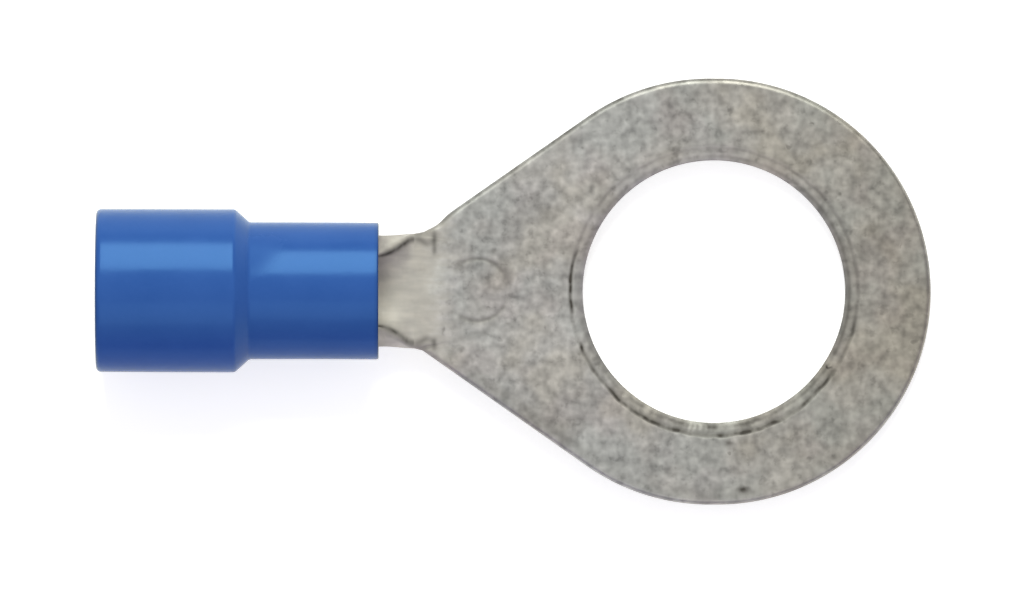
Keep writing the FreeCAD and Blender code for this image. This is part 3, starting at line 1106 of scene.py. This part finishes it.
# %% [markdown]
# ## Blue vinyl
# Soft vinyl is coloured all through. Its skin copies the mould: half glossy, with a very fine
# grain and a wide highlight that is bluish rather than white, which Specular Tint and a low
# IOR give. The flank away from the lamp gets painted shade, darker and bluer. The waist just in
# front of the cone is less glossy, so that the highlight there starts along a slant.

# %% Colour the vinyl
VINYL_DEEP = screen_colour(41, 78, 145)
VINYL_PALE = screen_colour(49, 86, 154)
VINYL_SHADE = screen_colour(14, 30, 66)
FAR_FLANK_SHADE = (0.84, 0.86, 1.04, 1)

vinyl, vinyl_shader, place = new_material("blue_vinyl")
along, aside = place.part("X"), place.part("Y")
skin = place.noise(scale=6.0)
depth = place.noise(scale=0.6)
vinyl_colour = mottled(0.5, (0.9, depth), (0.4, skin)).blend(VINYL_DEEP, VINYL_PALE)
# Painted shade: the flank away from the lamp is darker and bluer.
vinyl_colour = vinyl_colour.tinted(FAR_FLANK_SHADE, (aside * -1).between(1.2, 3.2))
dirt = place.node("ShaderNodeAttribute", {"attribute_name": "dirt"}, output="Fac")
# Painted shade at both ends of the sleeve, from the mesh's attribute.
feed(vinyl_shader, "Base Color", dirt.blend(vinyl_colour, VINYL_SHADE))
print("vinyl nodes so far:", len(vinyl.node_tree.nodes))

# %% Set the vinyl's shine
CONE_FOOT = cone_foot / MM
waist = 1 - (along - 0.7 * aside).between(CONE_FOOT - 0.75, CONE_FOOT + 0.55)
waist = waist * along.between(CONE_FOOT - 0.15, CONE_FOOT)
waist = waist * aside.bell(centre=1.2, spread=0.75)
vinyl_rough = mottled(0.22, (0.1, skin), (0.1, depth))
feed(vinyl_shader, "Roughness", vinyl_rough + 0.36 * waist)
vinyl_shader.inputs["IOR"].default_value = 1.18
vinyl_shader.inputs["Metallic"].default_value = 0.06
vinyl_shader.inputs["Specular Tint"].default_value = (0.5, 1.0, 0.2, 1.0)
feed(vinyl_shader, "Normal", relief_bump(skin * 0.5 + depth, strength=0.3, depth=0.01))
sleeve.data.materials.append(vinyl)
print("vinyl nodes:", len(vinyl.node_tree.nodes))

# %% [markdown]
# ## Floor
# The lug lies on a white table. The sleeve is thicker than the ring, so the lug rests on the
# wide part of the sleeve, where the cone starts, and on the ring's tip. The model keeps the
# tongue level, so the table leans by those few degrees instead. To the camera it glows a
# little, which turns it white but leaves the lug's shadow.

# %% Lay the floor
FLOOR_HALF = 1.5
foot_x, foot_z = cone_top - cone_rounding, axis_height - sleeve_radius
lean = math.atan2(-foot_z, metal_high.x - foot_x)
foot = np.array([foot_x, 0, foot_z])
across = np.array([math.cos(lean), 0, math.sin(lean)])
floor_mesh = bpy.data.meshes.new("floor")
floor_corners = [foot + across * sx * FLOOR_HALF + np.array([0, sy * FLOOR_HALF, 0])
                 for sx, sy in ((-1, -1), (1, -1), (1, 1), (-1, 1))]
floor_mesh.from_pydata([c.tolist() for c in floor_corners], [], [(0, 1, 2, 3)])
floor = bpy.data.objects.new("floor", floor_mesh)
bpy.context.scene.collection.objects.link(floor)
print(f"table leans {math.degrees(lean):.2f} degrees")

# %% Paint the floor
FLOOR_GLOW = 0.5
paper, paper_shader, place = new_material("white_table")
paper_shader.inputs["Base Color"].default_value = (0.84, 0.84, 0.84, 1.0)
paper_shader.inputs["Roughness"].default_value = 0.9
light_path = place.node("ShaderNodeLightPath").socket.node
camera_ray, glossy_ray, through_ray = (
    Flow(paper.node_tree, light_path.outputs[name])
    for name in ("Is Camera Ray", "Is Glossy Ray", "Is Transmission Ray")
)
feed(paper_shader, "Emission Strength", (camera_ray + glossy_ray + through_ray) * FLOOR_GLOW)
paper_shader.inputs["Emission Color"].default_value = (1.0, 1.0, 1.0, 1.0)
floor_mesh.materials.append(paper)
print("table nodes:", len(paper.node_tree.nodes))

# %% [markdown]
# ## Light
# A tall soft box stands behind the lug, above the top of the picture, and puts the wide
# highlight along the sleeve. A weak one in front lifts the near side. Area lamps give soft
# shadows, and their size sets how wide a highlight is.

# %% Set the lamps


def soft_box(name, direction, distance, width, height, power, colour):
    """An area lamp at a distance in a direction from the lug's middle, facing it."""
    lamp = bpy.data.lights.new(name, "AREA")
    lamp.shape = "RECTANGLE"
    lamp.size = width
    lamp.size_y = height
    lamp.energy = power
    lamp.color = colour
    thing = bpy.data.objects.new(name, lamp)
    away = np.array(direction) / np.linalg.norm(direction)
    middle = np.array([(sleeve_rear + metal_high.x) / 2, 0, 0])
    thing.location = middle + away * distance
    thing.rotation_euler = (math.acos(away[2]), 0, math.atan2(away[0], -away[1]))
    bpy.context.scene.collection.objects.link(thing)


soft_box("back_box", direction=(0, 0.764, 0.645), distance=0.42, width=0.15, height=0.31,
         power=1.76, colour=(0.99, 1.02, 0.95))
soft_box("front_box", direction=(0, -0.545, 0.839), distance=0.42, width=0.2, height=0.23,
         power=0.2, colour=(1.0, 1.0, 1.0))

# %% [markdown]
# ## Room
# A pale room gives the rest of the light. It is brightest overhead and dimmer towards the
# horizon, so that edges turn darker instead of brighter. The wall in front leans to violet
# and the one behind to green, which shows where tin and vinyl curve away.

# %% Light the room
FRONT_WALL = (0.44, 0.35, 0.67, 1)
BACK_WALL = (0.36, 0.38, 0.3, 1)
CEILING = (0.66, 0.66, 0.66, 1)
BRIGHTEST_WAY = (0, -0.22, 0.975)

room = bpy.data.worlds.new("room")
bpy.context.scene.world = room
room.use_nodes = True
sky = room.node_tree.nodes["Background"]
view = room.node_tree.nodes.new("ShaderNodeTexCoord")
direction = Flow(room.node_tree, view.outputs["Generated"])
wall = direction.part("Y").between(-1, 1).blend(FRONT_WALL, BACK_WALL)
overhead = direction.node("ShaderNodeVectorMath", {"operation": "DOT_PRODUCT"}, {
    0: direction, 1: BRIGHTEST_WAY}, "Value")
feed(sky, "Color", overhead.between(0, 0.95).blend(wall, CEILING))
print("room nodes:", len(room.node_tree.nodes))

# %% [markdown]
# ## Camera
# The picture is taken from straight above through a long lens, so that nothing of the hole's
# wall shows. The lens and distance make one millimetre of the tongue as wide as it is in the
# picture, and a tenth of a degree of roll sets the lug's axis.

# %% Place the camera
PIXELS_PER_MM = 25.0
PICTURE_WIDTH = 1024
PICTURE_HEIGHT = 591
HOLE_PIXEL = (714.0, 291.6)
LENS = 800.0
SENSOR = 36.0
roll = math.radians(0.1)
view_width = PICTURE_WIDTH / PIXELS_PER_MM * MM
distance = LENS / SENSOR * view_width
right = (HOLE_PIXEL[0] - PICTURE_WIDTH / 2) / PIXELS_PER_MM * MM
upwards = (PICTURE_HEIGHT / 2 - HOLE_PIXEL[1]) / PIXELS_PER_MM * MM
camera_x = -(right * math.cos(roll) - upwards * math.sin(roll))
camera_y = -(right * math.sin(roll) + upwards * math.cos(roll))

lens = bpy.data.cameras.new("camera")
lens.lens = LENS
lens.sensor_width = SENSOR
camera = bpy.data.objects.new("camera", lens)
camera.location = (camera_x, camera_y, thickness + distance)
camera.rotation_euler = (0, 0, roll)
bpy.context.scene.collection.objects.link(camera)
bpy.context.scene.camera = camera
bpy.context.scene.view_settings.view_transform = "Standard"
print(f"camera {distance / MM:.0f} mm above the tongue")
